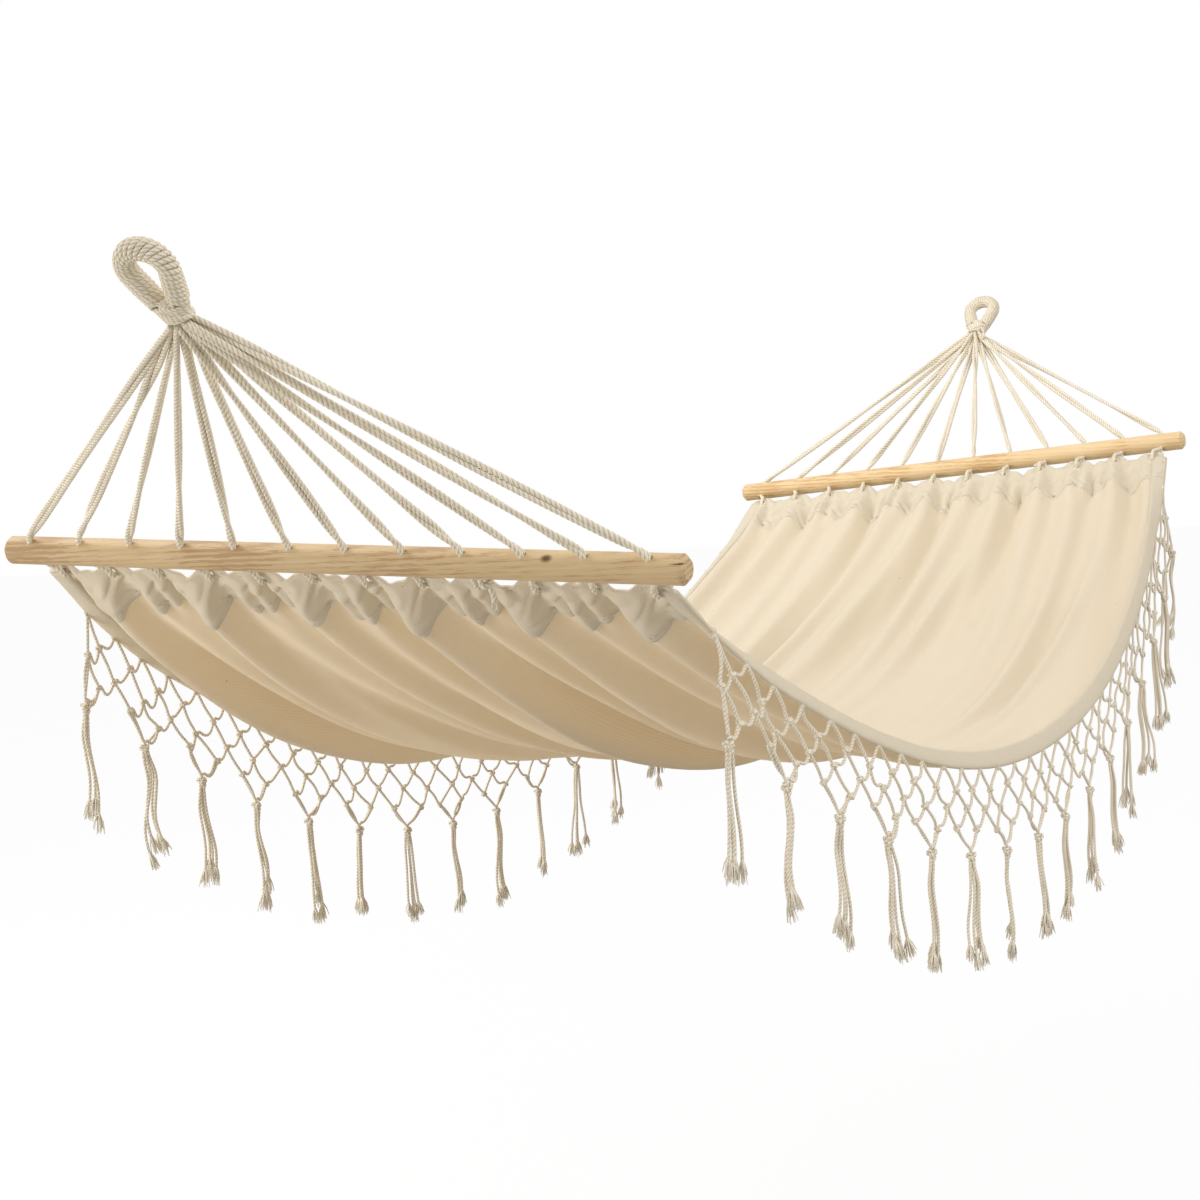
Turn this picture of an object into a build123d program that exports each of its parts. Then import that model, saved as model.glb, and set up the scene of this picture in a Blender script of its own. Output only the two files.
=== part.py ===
"""Garden hammock: a canvas bed on two spreader bars, hung from two whipped rope eyes, with knotted fringes.

Millimetres, +Z up. The origin is where a hook bears inside the head eye, and +X runs to the foot eye.
The foot end is the head end turned half round about the upright line through the middle.
"""
import os
from math import acos, atan2, cos, degrees, pi, radians, sin, sqrt

from build123d import *

# How it hangs
HANG_SPAN = 2444.0        # between the two hooks
CLEW_LENGTH = 305.0       # from the throat of the eye to the axis of the bar
CLEW_SLOPE = 47.4         # of the clew, degrees below the level
BED_SAG = 309.0           # of the bed below its eyelets
BAR_LEAN = 3.5            # of each bar, degrees, in opposite senses: the bed hangs with a slight twist

# Spreader bars and the clew cords through them
BAR_LENGTH = 800.0
BAR_DIAMETER = 30.0
BAR_CHAMFER = 5.0
HOLE_COUNT = 12
HOLE_PITCH = 66.2
CORD_DIAMETER = 7.0       # of a doubled cord, twisted to a pair
HOLE_CLEARANCE = 0.5
CORD_BEND = 10.0          # radius of the cord where it turns into its hole
CORD_RISE = 5.0           # of that turn above the bar

# Bights that tie the cords to the bed
BIGHT_DIAMETER = 18.0
BIGHT_CORD = 5.0
BIGHT_DROP = 6.0          # below the bar
EYELET_DIAMETER = 11.0
KNOT_DIAMETER = 12.0
KNOT_HOLE = 9             # the hole, from the left, whose bight carries the end knot

# Hanging eyes
EYE_ROPE = 22.0           # over the whipping
EYE_CORE = 15.0
EYE_BEND = 22.0           # radius at the crown, to the middle of the rope
EYE_HEIGHT = 40.0         # from the binding to the centre of the crown
BINDING_LENGTH = 20.0
BINDING_WIDTH = 46.0
THROAT_BALL = 25.0        # diameter of the gathered cords at the throat

# Canvas bed
CLOTH = 3.0
END_HEM = 60.0
SIDE_HEM_WIDTH = 24.0
SIDE_HEM_DEPTH = 7.0
MIDDLE_SPREAD = 47.0      # how much further out each side is at the middle than at the bars
CROSS_SAG = 10.0          # of the bed between its sides, at the middle
FOLD_AT_BAR = 9.5         # half the depth of the folds
FOLD_AT_MIDDLE = 1.5
STATIONS = 11

# Fringe
FRINGE_CORD = 4.0
FRINGE_PAIRS = 16         # tassels along each side
ROW_DROPS = (25.5, 47.0, 70.0, 90.0)     # of the knots and of the tip below the side hem
TASSEL_LENGTH = 128.0
TASSEL_KNOT = 11.0
TASSEL_NECK = 8.0
TASSEL_BODY = 11.0
TASSEL_END = 17.0

NET_GAP = 0.8             # below the side hem, whose curve the net's straight lengths cut across

GAP = 0.3                 # between neighbours that touch on the real object

# Places that follow from those sizes
slope = radians(CLEW_SLOPE)
pull = Vector(-cos(slope), 0, sin(slope))                  # from the bar to the hook
crown = EYE_HEIGHT + EYE_BEND - EYE_ROPE / 2               # bearing point above the binding
binding_base = THROAT_BALL / 2 + GAP
throat = pull * -(binding_base + BINDING_LENGTH + crown)
clew = Plane(origin=throat, x_dir=(0, 1, 0), z_dir=(sin(slope), 0, cos(slope)))   # local y is the pull
bar_drop = BAR_DIAMETER / 2
bight_middle = CLEW_LENGTH + bar_drop + BIGHT_DROP + BIGHT_DIAMETER / 2
hole_places = [(HOLE_COUNT - 1 - 2 * i) / 2 * HOLE_PITCH for i in range(HOLE_COUNT)]   # from the left
bed_end = clew.from_local_coords((0, -bight_middle, 0))
bed_span = HANG_SPAN - 2 * bed_end.X
half_end = HOLE_PITCH / 4 * (2 * HOLE_COUNT - 1)           # half the width of the bed at its ends
fold_count = 2 * HOLE_COUNT - 1                            # crests and troughs across the bed
lean_axis = Axis(tuple(throat), (1, 0, 0))
turn_axis = Axis((HANG_SPAN / 2, 0, 0), (0, 0, 1))


def lean(shape):
    return shape.rotate(lean_axis, BAR_LEAN)


def turned(shape):
    return shape.rotate(turn_axis, 180)


def lean_point(point):
    angle = radians(BAR_LEAN)
    rise = point.Z - throat.Z
    return Vector(point.X, point.Y * cos(angle) - rise * sin(angle),
                  throat.Z + point.Y * sin(angle) + rise * cos(angle))


def turned_point(point):
    return Vector(HANG_SPAN - point.X, -point.Y, point.Z)


def eye_path():
    """The middle line of the eye: a leg, the crown and the other leg, open at the binding."""
    seat = binding_base + BINDING_LENGTH
    centre = Vector(0, seat + EYE_HEIGHT)
    rise = 0.0
    for _ in range(12):                                    # until the leaning leg's lower rim is on its seat
        foot = Vector(-EYE_ROPE / 2 - GAP, seat + rise)
        away = foot - centre
        angle = atan2(away.Y, away.X) - acos(EYE_BEND / away.length)
        touch = centre + Vector(cos(angle), sin(angle)) * EYE_BEND
        rise = GAP + EYE_ROPE / 2 * abs((touch - foot).X) / (touch - foot).length
    mirror_touch, mirror_foot = Vector(-touch.X, touch.Y), Vector(-foot.X, foot.Y)
    left, right = Line(foot, touch), Line(mirror_touch, mirror_foot)
    top = ThreePointArc(touch, centre + Vector(0, EYE_BEND), mirror_touch)
    return clew * Wire([*left.edges(), *top.edges(), *right.edges()])


def eye_core():
    path = eye_path()
    return sweep(Plane(origin=path @ 0, z_dir=path % 0) * Circle(EYE_CORE / 2), path=path)


def eye_whipping():
    path = eye_path()
    section = Circle(EYE_ROPE / 2) - Circle(EYE_CORE / 2 + GAP)
    return sweep(Plane(origin=path @ 0, z_dir=path % 0) * section, path=path)


def eye_binding():
    """The wrapped collar that closes the eye above its throat."""
    levels = Plane(origin=clew.from_local_coords((0, binding_base, 0)), x_dir=(0, 1, 0), z_dir=pull)
    bottom = levels * SlotOverall(THROAT_BALL + EYE_ROPE / 4, EYE_ROPE)
    top = levels.offset(BINDING_LENGTH) * SlotOverall(BINDING_WIDTH, EYE_ROPE + 2)
    return loft([bottom, top])


def leg_angle(place):
    return atan2(place, CLEW_LENGTH - bar_drop - CORD_RISE)


def leg_starts():
    """How far from the throat each cord leaves the bundle: where it comes clear of its inner neighbour."""
    starts = {}
    for place in hole_places:
        inner = abs(place) - HOLE_PITCH
        parting = abs(leg_angle(abs(place))) - leg_angle(inner)
        starts[place] = max(THROAT_BALL / 2, (CORD_DIAMETER + GAP) / sin(abs(parting)))
    return starts


def clew_cords():
    """The doubled cords from the bundle through the bar, each with its bight at the foot."""
    legs = []
    for place, start in leg_starts().items():
        angle = leg_angle(place)
        top = clew.from_local_coords((start * sin(angle), -start * cos(angle), 0))
        corner = clew.from_local_coords((place, -(CLEW_LENGTH - bar_drop - CORD_RISE), 0))
        foot = clew.from_local_coords((place, -(bight_middle - BIGHT_DIAMETER / 2), 0))
        path = FilletPolyline(top, corner, foot, radius=CORD_BEND) if place else Line(top, foot)
        leg = sweep(Plane(origin=path @ 0, z_dir=path % 0) * Circle(CORD_DIAMETER / 2), path=path)
        ring_plane = Plane(origin=clew.from_local_coords((place, -bight_middle, 0)), z_dir=(0, 1, 0))
        legs.append(leg + ring_plane * Torus(BIGHT_DIAMETER / 2, BIGHT_CORD / 2))
    return lean(Compound([s for leg in legs for s in leg.solids()]))


def cord_bundle():
    """The cords where they run together below the throat, with the ball that the swing turns about."""
    half = CORD_DIAMETER / 2 - 2 * GAP
    outline = [Vector(0, 0)]
    for place, start in leg_starts().items():
        angle = leg_angle(place)
        along, across = Vector(sin(angle), -cos(angle)), Vector(cos(angle), sin(angle))
        reach = along * (start - 2 * GAP)
        outline += [reach + across * half, reach - across * half]
    fan = clew * make_face(Polyline(*outline, close=True))
    return lean((extrude(fan, CORD_DIAMETER / 2, both=True) + clew * Sphere(THROAT_BALL / 2)).solid())


def end_knot(from_left):
    """The knot where the clew cord's two ends are tied, under the bar and beside the cord."""
    beside = hole_places[from_left - 1] - (CORD_DIAMETER + KNOT_DIAMETER) / 2 - GAP
    under = CLEW_LENGTH + bar_drop + GAP + KNOT_DIAMETER / 2
    return lean(Pos(clew.from_local_coords((beside, -under, 0))) * Sphere(KNOT_DIAMETER / 2))


def spreader_bar():
    rod = Rot(90, 0, 0) * Cylinder(BAR_DIAMETER / 2, BAR_LENGTH)
    rod = chamfer(rod.edges().filter_by(GeomType.CIRCLE), BAR_CHAMFER)
    rod = Pos(clew.from_local_coords((0, -CLEW_LENGTH, 0))) * rod
    for place in hole_places:
        hole = Plane(origin=clew.from_local_coords((place, -CLEW_LENGTH, 0)), z_dir=pull)
        rod -= hole * Cylinder(CORD_DIAMETER / 2 + HOLE_CLEARANCE, 2 * BAR_DIAMETER)
    return lean(rod)


# The middle line of each side hem is a parabola in a plane of its own
side_place = half_end - SIDE_HEM_WIDTH / 2
base = bed_end.Z - FOLD_AT_BAR
head_left = lean_point(Vector(bed_end.X, side_place, base))
foot_left = turned_point(lean_point(Vector(bed_end.X, -side_place, base)))
middle_left = Vector(HANG_SPAN / 2, side_place + MIDDLE_SPREAD, base - BED_SAG)
side_bow = middle_left - (head_left + foot_left) * 0.5


def left_side(u):
    return head_left * (1 - u) + foot_left * u + side_bow * (4 * u * (1 - u))


def right_side(u):
    return turned_point(left_side(1 - u))


def fold_section(u, overlap):
    """The bed's outline at one station: folds of alternating arcs across it, its edges flat."""
    left, right = left_side(u), right_side(u)
    across = (left - right).normalized()
    up = Vector(1, 0, 0).cross(across)
    half = (left - right).length / 2 + overlap
    depth = FOLD_AT_MIDDLE + (FOLD_AT_BAR - FOLD_AT_MIDDLE) * abs(2 * u - 1) ** 1.5
    step = 2 * half / fold_count

    def point(place, rise):
        sag = CROSS_SAG * 4 * u * (1 - u) * (1 - (place / half) ** 2)
        return (left + right) * 0.5 + across * place + up * (rise - sag)

    def face_of_cloth(offset):
        arcs = []
        for k in range(fold_count):
            begin = -half + k * step
            crest = depth if k % 2 == 0 else -depth
            arcs.append(ThreePointArc(point(begin, offset), point(begin + step / 2, offset + crest),
                                      point(begin + step, offset)))
        return arcs

    top, bottom = face_of_cloth(CLOTH / 2), face_of_cloth(-CLOTH / 2)
    ends = [Line(top[-1] @ 1, bottom[-1] @ 1), Line(bottom[0] @ 0, top[0] @ 0)]
    return Wire([e for curve in [*top, *bottom, *ends] for e in curve.edges()])


hem_share = END_HEM / bed_span
stations = [hem_share + (1 - 2 * hem_share) * k / (STATIONS - 1) for k in range(STATIONS)]


def bed_panel():
    return Solid.make_loft([fold_section(u, -SIDE_HEM_WIDTH / 2 - GAP) for u in stations])


def head_hem():
    """The doubled hem at the head, with an eyelet for each bight."""
    band = Solid.make_loft([fold_section(u, SIDE_HEM_WIDTH / 2) for u in (0, hem_share)], ruled=True)
    fall = degrees(atan2(-side_bow.Z * 4, bed_span))
    inset = (BIGHT_DIAMETER - BIGHT_CORD + EYELET_DIAMETER) / 2 - GAP
    along = Vector(cos(radians(fall)), 0, -sin(radians(fall)))
    holes = []
    for place in hole_places:
        middle = bed_end + Vector(0, place, 0) + along * inset
        hole = Plane(origin=middle, z_dir=(sin(radians(fall)), 0, cos(radians(fall))))
        holes.append(lean(hole * Cylinder(EYELET_DIAMETER / 2, 8 * CLOTH)))
    return band - holes


def left_hem():
    """The rolled hem down the left side, from one end hem to the other."""
    sections = []
    for u in stations:
        plane = Plane(origin=left_side(u), x_dir=left_side(u) - right_side(u), z_dir=(1, 0, 0))
        sections.append((plane * SlotOverall(SIDE_HEM_WIDTH, SIDE_HEM_DEPTH)).wire())
    return Solid.make_loft(sections)


# The net hangs in the plane of its hem, whose local x runs along the hem
net_plane = Plane(origin=head_left, x_dir=foot_left - head_left, z_dir=side_bow.cross(foot_left - head_left))
net_down = net_plane.to_local_coords(head_left + side_bow.normalized())


def hem_places(count):
    """Evenly spaced places along the side hem, by length along its curve, in the net's plane."""
    samples = [net_plane.to_local_coords(left_side(hem_share + (1 - 2 * hem_share) * k / 400)) for k in range(401)]
    lengths = [0.0]
    for a, b in zip(samples, samples[1:]):
        lengths.append(lengths[-1] + (b - a).length)
    margin = FRINGE_CORD * 2
    places = []
    for i in range(count):
        wanted = margin + (lengths[-1] - 2 * margin) * i / (count - 1)
        k = min(next(n for n, total in enumerate(lengths) if total >= wanted), len(samples) - 1)
        share = (wanted - lengths[k - 1]) / (lengths[k] - lengths[k - 1])
        places.append(samples[k - 1] + (samples[k] - samples[k - 1]) * share)
    return places


def offset_outline(points, distance):
    """A polygon, given anticlockwise, with every side moved inwards by distance."""
    moved = []
    for before, here, after in zip([points[-1], *points], points, [*points[1:], points[0]]):
        into, out = (here - before).normalized(), (after - here).normalized()
        normal_in, normal_out = Vector(-into.Y, into.X), Vector(-out.Y, out.X)
        mitre = (normal_in + normal_out).normalized()
        moved.append(here + mitre * (distance / mitre.dot(normal_in)))
    return moved


def anticlockwise(points):
    area = sum(a.X * b.Y - b.X * a.Y for a, b in zip(points, [*points[1:], points[0]]))
    return points if area > 0 else points[::-1]


head_drop = (SIDE_HEM_DEPTH + FRINGE_CORD) / 2 + NET_GAP
heads = [p + net_down * head_drop for p in hem_places(2 * FRINGE_PAIRS - 1)]
between = [(a + b) * 0.5 for a, b in zip(heads, heads[1:])]
row_one = [p + net_down * ROW_DROPS[0] for p in between]
row_two = [p + net_down * ROW_DROPS[1] for p in heads]
row_three = [p + net_down * ROW_DROPS[2] for p in between]
tips = [p + net_down * ROW_DROPS[3] for p in heads[::2]]


def left_net():
    """The knotted net: one face with a hole for each gap, as thick as its cord."""
    count = len(between)
    gaps = [[heads[k], heads[k + 1], row_one[k]] for k in range(count)]
    gaps += [[heads[i], row_one[i - 1], row_two[i], row_one[i]] for i in range(1, count)]
    gaps += [[heads[0], row_one[0], row_two[0]], [heads[-1], row_one[-1], row_two[-1]]]
    gaps += [[row_one[k], row_two[k], row_three[k], row_two[k + 1]] for k in range(count)]
    gaps += [[row_two[2 * j], row_three[2 * j - 1], tips[j], row_three[2 * j]] for j in range(1, FRINGE_PAIRS - 1)]
    gaps += [[row_two[0], row_three[0], tips[0]], [row_two[-1], row_three[-1], tips[-1]]]
    border = [*heads, tips[-1]]
    for j in reversed(range(1, FRINGE_PAIRS)):
        border += [row_three[2 * j - 1], row_two[2 * j - 1], row_three[2 * j - 2], tips[j - 1]]
    outer = Wire.make_polygon(offset_outline(anticlockwise(border), -FRINGE_CORD / 2))
    inner = [Wire.make_polygon(offset_outline(anticlockwise(gap), FRINGE_CORD / 2)) for gap in gaps]
    return extrude(net_plane * Face(outer, inner), FRINGE_CORD / 2, both=True)


def tassel_places():
    """The middle of each tassel's knot, under its tip of the net."""
    drop = FRINGE_CORD * 0.75 + GAP + TASSEL_KNOT / 2
    return [net_plane.from_local_coords(tip) - Vector(0, 0, drop) for tip in tips]


def tassel():
    """A knot with the cords that hang from it, spreading where they are frayed."""
    knot, neck = TASSEL_KNOT / 2, TASSEL_NECK / 2
    neck_drop = sqrt(knot ** 2 - neck ** 2)
    side = [(neck, -neck_drop), (TASSEL_BODY / 2, -TASSEL_LENGTH / 3), (TASSEL_BODY / 2, -TASSEL_LENGTH * 0.85),
            (TASSEL_END / 2, -TASSEL_LENGTH), (0, -TASSEL_LENGTH), (0, knot)]
    round_top = ThreePointArc((0, knot), (knot * cos(pi / 4), knot * sin(pi / 4)), (neck, -neck_drop))
    profile = make_face(Plane.XZ * Wire([*round_top.edges(), *Polyline(*side).edges()]))
    return revolve(profile, Axis.Z)


head_nodes = {
    "eye_core": eye_core(),
    "eye_whipping": eye_whipping(),
    "eye_binding": eye_binding(),
    "cord_bundle": cord_bundle(),
    "clew_cords": clew_cords(),
    "spreader_bar": spreader_bar(),
    "end_hem": head_hem(),
}
left_nodes = {"side_hem": left_hem(), "fringe_net": left_net()}

nodes = {"bed_panel": bed_panel()}
for name, shape in head_nodes.items():
    nodes["head_" + name] = shape
    nodes["foot_" + name] = turned(shape)
nodes["head_end_knot"] = end_knot(KNOT_HOLE)
nodes["foot_end_knot"] = turned(end_knot(HOLE_COUNT + 1 - KNOT_HOLE))
for name, shape in left_nodes.items():
    nodes["left_" + name] = shape
    nodes["right_" + name] = turned(shape)
one_tassel = tassel()
for number, place in enumerate(tassel_places(), start=1):
    nodes[f"left_tassel_{number:02d}"] = Pos(place) * one_tassel
    nodes[f"right_tassel_{number:02d}"] = Pos(turned_point(place)) * one_tassel

os.makedirs("parts", exist_ok=True)
for name, shape in nodes.items():
    export_step(shape, f"parts/{name}.step")
    if not name.startswith(("left_tassel", "right_tassel")):
        print(name, len(shape.solids()), "solids", round(shape.volume), "mm3")
print("bed from", [round(v, 1) for v in bed_end], "span", round(bed_span, 1), "throat", [round(v, 2) for v in throat])
print("tassel knots on the left:", [[round(v, 2) for v in p] for p in tassel_places()])
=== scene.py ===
import bpy
import math
import numpy as np
from mathutils import Matrix, Vector


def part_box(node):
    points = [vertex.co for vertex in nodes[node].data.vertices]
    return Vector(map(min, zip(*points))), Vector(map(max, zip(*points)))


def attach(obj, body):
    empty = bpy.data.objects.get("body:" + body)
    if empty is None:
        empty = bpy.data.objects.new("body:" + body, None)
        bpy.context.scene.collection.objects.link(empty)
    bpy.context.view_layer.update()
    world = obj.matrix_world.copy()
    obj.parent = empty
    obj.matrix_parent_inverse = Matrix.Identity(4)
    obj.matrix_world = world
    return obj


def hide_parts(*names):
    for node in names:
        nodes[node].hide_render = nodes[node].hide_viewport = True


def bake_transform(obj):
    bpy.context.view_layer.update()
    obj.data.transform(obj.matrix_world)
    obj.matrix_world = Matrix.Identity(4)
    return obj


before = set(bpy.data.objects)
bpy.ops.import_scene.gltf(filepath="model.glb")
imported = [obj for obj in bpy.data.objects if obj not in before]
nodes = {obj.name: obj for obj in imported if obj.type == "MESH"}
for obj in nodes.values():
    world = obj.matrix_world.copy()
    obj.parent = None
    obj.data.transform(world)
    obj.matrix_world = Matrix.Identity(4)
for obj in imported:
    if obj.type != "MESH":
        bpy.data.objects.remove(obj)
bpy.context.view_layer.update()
scene = bpy.context.scene
bpy.ops.object.select_all(action="DESELECT")
print("frame loaded:", len(nodes), "nodes")

# where everything hangs, in metres and degrees, as in the CAD source but with a flatter bed
layout = {
    "span": 2.444, "clewLength": 0.305, "clewSlope": 47.4, "sag": 0.309, "lean": 3.5,
    "barRadius": 0.015, "holes": 12, "holePitch": 0.0662, "bight": 0.009, "bightDrop": 0.006,
    "bindingBase": 0.0128, "binding": 0.020, "eyeHeight": 0.040, "eyeBend": 0.022, "eyeRope": 0.022,
    "hemWidth": 0.024, "endHem": 0.060, "spread": 0.047, "crossSag": 0.001, "fold": 0.0095,
}
slope = math.radians(layout["clewSlope"])
pull = np.array([-math.cos(slope), 0, math.sin(slope)])  # from the bar towards the hook
clewNormal = np.array([math.sin(slope), 0, math.cos(slope)])
sideways = np.array([0, 1.0, 0])
eyeSeat = layout["bindingBase"] + layout["binding"]
throat = -pull * (eyeSeat + layout["eyeHeight"] + layout["eyeBend"] - layout["eyeRope"] / 2)
bightMiddle = layout["clewLength"] + layout["barRadius"] + layout["bightDrop"] + layout["bight"]
holePlaces = [(layout["holes"] - 1 - 2 * k) / 2 * layout["holePitch"] for k in range(layout["holes"])]
midHole = (layout["holes"] - 1) / 2
endHalf = layout["holePitch"] / 4 * (2 * layout["holes"] - 1)  # half the bed's width at the bars
chance = np.random.default_rng(7)


def clewPoint(y, s, n):  # y across, s towards the hook, n out of the fan's plane
    return throat + sideways * y + pull * s + clewNormal * n


def leanPoints(points):
    points = np.atleast_2d(points)
    angle = math.radians(layout["lean"])
    y, z = points[:, 1], points[:, 2] - throat[2]
    return np.stack([points[:, 0], y * math.cos(angle) - z * math.sin(angle),
                     throat[2] + y * math.sin(angle) + z * math.cos(angle)], -1)


def turnPoints(points):
    points = np.atleast_2d(points)
    return np.stack([layout["span"] - points[:, 0], -points[:, 1], points[:, 2]], -1)


def atEnd(points, end):  # 0 is the head, 1 the foot
    return turnPoints(points) if end else points


def unit(vectors):
    return vectors / np.linalg.norm(vectors, axis=-1, keepdims=True)


def arcLengths(line):
    return np.concatenate([[0], np.cumsum(np.linalg.norm(np.diff(line, axis=0), axis=1))])


def pointsAt(wanted, lengths, line):
    return np.stack([np.interp(wanted, lengths, line[:, i]) for i in range(3)], -1)


def evenly(line, step):
    lengths = arcLengths(line)
    count = max(4, int(round(lengths[-1] / step)) + 1)
    return pointsAt(np.linspace(0, lengths[-1], count), lengths, line)


def circle(count):
    return np.arange(count) / count * 2 * math.pi


def ease(share):  # from 0 to 1, level at both ends
    return 0.5 - 0.5 * np.cos(math.pi * np.clip(share, 0, 1))


# materials
white, black = "#ffffff", "#000000"


def toLinear(code):
    parts = [int(code[i:i + 2], 16) / 255 for i in (1, 3, 5)]
    return [*[c / 12.92 if c <= 0.04045 else ((c + 0.055) / 1.055) ** 2.4 for c in parts], 1]


def addNode(tree, kind, settings=None):  # a socket among the settings is linked
    node = tree.nodes.new(kind)
    for key, value in (settings or {}).items():
        if isinstance(value, bpy.types.NodeSocket):
            tree.links.new(value, node.inputs[key])
        elif isinstance(key, int) or key in node.inputs:
            node.inputs[key].default_value = value
        else:
            setattr(node, key, value)
    return node


def addMath(tree, operation, *values):
    return addNode(tree, "ShaderNodeMath", {"operation": operation, **dict(enumerate(values))}).outputs[0]


def addNoise(tree, vector, scale, detail, roughness=0.5):
    return addNode(tree, "ShaderNodeTexNoise", {"Scale": scale, "Detail": detail, "Roughness": roughness,
                                                "Vector": vector}).outputs[0]


def addMapping(tree, vector, settings):
    return addNode(tree, "ShaderNodeMapping", {**settings, "Vector": vector}).outputs[0]


def addRange(tree, value, settings):
    return addNode(tree, "ShaderNodeMapRange", {**settings, "Value": value}).outputs[0]


def addMix(tree, share, first, second, kind="MIX"):
    return addNode(tree, "ShaderNodeMix", {"data_type": "RGBA", "blend_type": kind, 0: share,
                                           6: first, 7: second}).outputs[2]


def addRamp(tree, value, stops):
    node = addNode(tree, "ShaderNodeValToRGB", {0: value})
    ramp = node.color_ramp
    while len(ramp.elements) < len(stops):
        ramp.elements.new(0.5)
    for element, (place, colour) in zip(ramp.elements, stops):
        element.position = place
        element.color = toLinear(colour)
    return node.outputs[0]


def addBumps(tree, shader, layers):  # strength, distance and height of each, the last on top
    below = {}
    for strength, distance, height in layers:
        bump = addNode(tree, "ShaderNodeBump", {"Strength": strength, "Distance": distance,
                                                "Height": height, **below})
        below = {"Normal": bump.outputs[0]}
    tree.links.new(below["Normal"], shader.inputs["Normal"])
    return below


def newMaterial(name, settings):
    material = bpy.data.materials.new(name)
    material.use_nodes = True
    tree = material.node_tree
    tree.nodes.clear()
    shader = addNode(tree, "ShaderNodeBsdfPrincipled", settings)
    addNode(tree, "ShaderNodeOutputMaterial", {"Surface": shader.outputs[0]})
    return material, tree, shader


def mixSurface(tree, share, first, second):
    mixed = addNode(tree, "ShaderNodeMixShader", {0: share, 1: first.outputs[0], 2: second.outputs[0]})
    tree.links.new(mixed.outputs[0], tree.nodes["Material Output"].inputs["Surface"])


def bandScale(millimetres):  # Blender's bands repeat every 2 pi / 20 at scale 1
    return 2 * math.pi / 20 / (millimetres / 1000)


# unbleached cotton canvas, plain woven, with slubs and dark husk specks: light comes through honey-coloured
canvas = {"fleck": "#8d7753", "glow": "#fde4b6", "thread": 1.5, "husks": 42,  # real threads are 0.6 mm
          "slubs": ((800, 60, 1), (60, 800, 1))}


def canvasMaterial(name, light, dark, through):
    material, tree, shader = newMaterial(name, {"Roughness": 0.92, "Specular IOR Level": 0.2,
                                                "Sheen Weight": 0.1, "Sheen Roughness": 0.5})
    uv = addNode(tree, "ShaderNodeUVMap", {"uv_map": "cloth"}).outputs[0]
    place = addNode(tree, "ShaderNodeTexCoord").outputs["Object"]
    thread = {"Scale": bandScale(canvas["thread"]), "Distortion": 0.7, "Detail": 1, "Detail Scale": 0.4,
              "Vector": uv}
    warp, weft = [addNode(tree, "ShaderNodeTexWave", {"bands_direction": way, **thread}).outputs[1]
                  for way in "XY"]
    weave = addMath(tree, "MULTIPLY", warp, weft)
    slubs = [addNoise(tree, addMapping(tree, uv, {"Scale": stretch}), 1, 2) for stretch in canvas["slubs"]]
    slub = addMath(tree, "ADD", *slubs)
    cloud = addNoise(tree, place, 5, 3)
    tone = addMath(tree, "MULTIPLY_ADD", slub, 0.7, cloud)
    base = addRamp(tree, tone, [(0.70, dark), (1.0, light)])
    husk = addNode(tree, "ShaderNodeTexVoronoi", {"Scale": canvas["husks"], "Randomness": 1.0, "Vector": uv})
    spot = addRamp(tree, husk.outputs[0], [(0.03, white), (0.05, black)])
    pick = addRamp(tree, husk.outputs["Color"], [(0.72, black), (0.76, white)])
    mask = addMath(tree, "MULTIPLY", spot, pick)
    shade = addRange(tree, weave, {"To Min": 0.89, "To Max": 1.04})
    woven = addMix(tree, 1.0, base, shade, "MULTIPLY")
    flecked = addMix(tree, mask, woven, toLinear(canvas["fleck"]))
    tree.links.new(flecked, shader.inputs["Base Color"])
    relief = addBumps(tree, shader, [(0.5, 0.0004, weave), (0.3, 0.0007, slub)])
    glow = addNode(tree, "ShaderNodeBsdfTranslucent", {"Color": toLinear(canvas["glow"]), **relief})
    mixSurface(tree, through, shader, glow)
    return material


canvasCloth = canvasMaterial("cottonCanvas", "#f7eed9", "#ede1c6", 0.27)
# the hems' colours are darker than the panel's: painted shade; the smaller share let through is the doubled
# cloth's own
canvasDoubledShaded = canvasMaterial("doubledCottonCanvasShaded", "#efe4cd", "#e0d2b8", 0.16)

# cotton cord: two or three strands laid together, of short fibre, matt and slightly fuzzy
cordLay = {"clewRadius": 0.0030, "clewLay": 0.0165, "fringeRadius": 0.0019, "fringeLay": 0.0088,
           "eyeRadius": 0.0027, "eyeLay": 0.0130, "stitchRadius": 0.0006, "stitchLay": 0.004,
           "fringeDepth": 0.17}


def cordMaterial(name, kind, light, dark, grooveShade, plies=3):
    radius, lay = cordLay[kind + "Radius"], cordLay[kind + "Lay"]
    material, tree, shader = newMaterial(name, {"Roughness": 0.95, "Specular IOR Level": 0.15,
                                                "Sheen Weight": 0.2, "Sheen Roughness": 0.6})
    uv = addNode(tree, "ShaderNodeUVMap", {"uv_map": "cord"}).outputs[0]  # metres along, metres around
    wind = (-plies / lay * 2 * math.pi, plies / radius, 0)
    turns = addNode(tree, "ShaderNodeVectorMath", {"operation": "DOT_PRODUCT", 0: uv, 1: wind})
    swell = addRange(tree, addMath(tree, "COSINE", turns.outputs["Value"]), {"From Min": -1, "From Max": 1})
    across = addMapping(tree, uv, {"Rotation": (0, 0, math.radians(-52)), "Scale": (260, 2200, 1)})
    fibre = addNoise(tree, across, 1, 3)
    patch = addNoise(tree, uv, 35, 2)
    colour = addRamp(tree, addMath(tree, "MULTIPLY_ADD", fibre, 0.5, patch), [(0.45, dark), (0.95, light)])
    # painted shade: the grooves between the strands are darkened towards the groove colour
    deep = addRamp(tree, swell, [(0.02, white), (0.42, black)])
    tree.links.new(addMix(tree, deep, colour, toLinear(grooveShade)), shader.inputs["Base Color"])
    addBumps(tree, shader, [(0.45, radius * 0.22, swell), (0.35, 0.0004, fibre)])
    return material


# the last colour of each cord is the painted shade in its grooves
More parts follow.
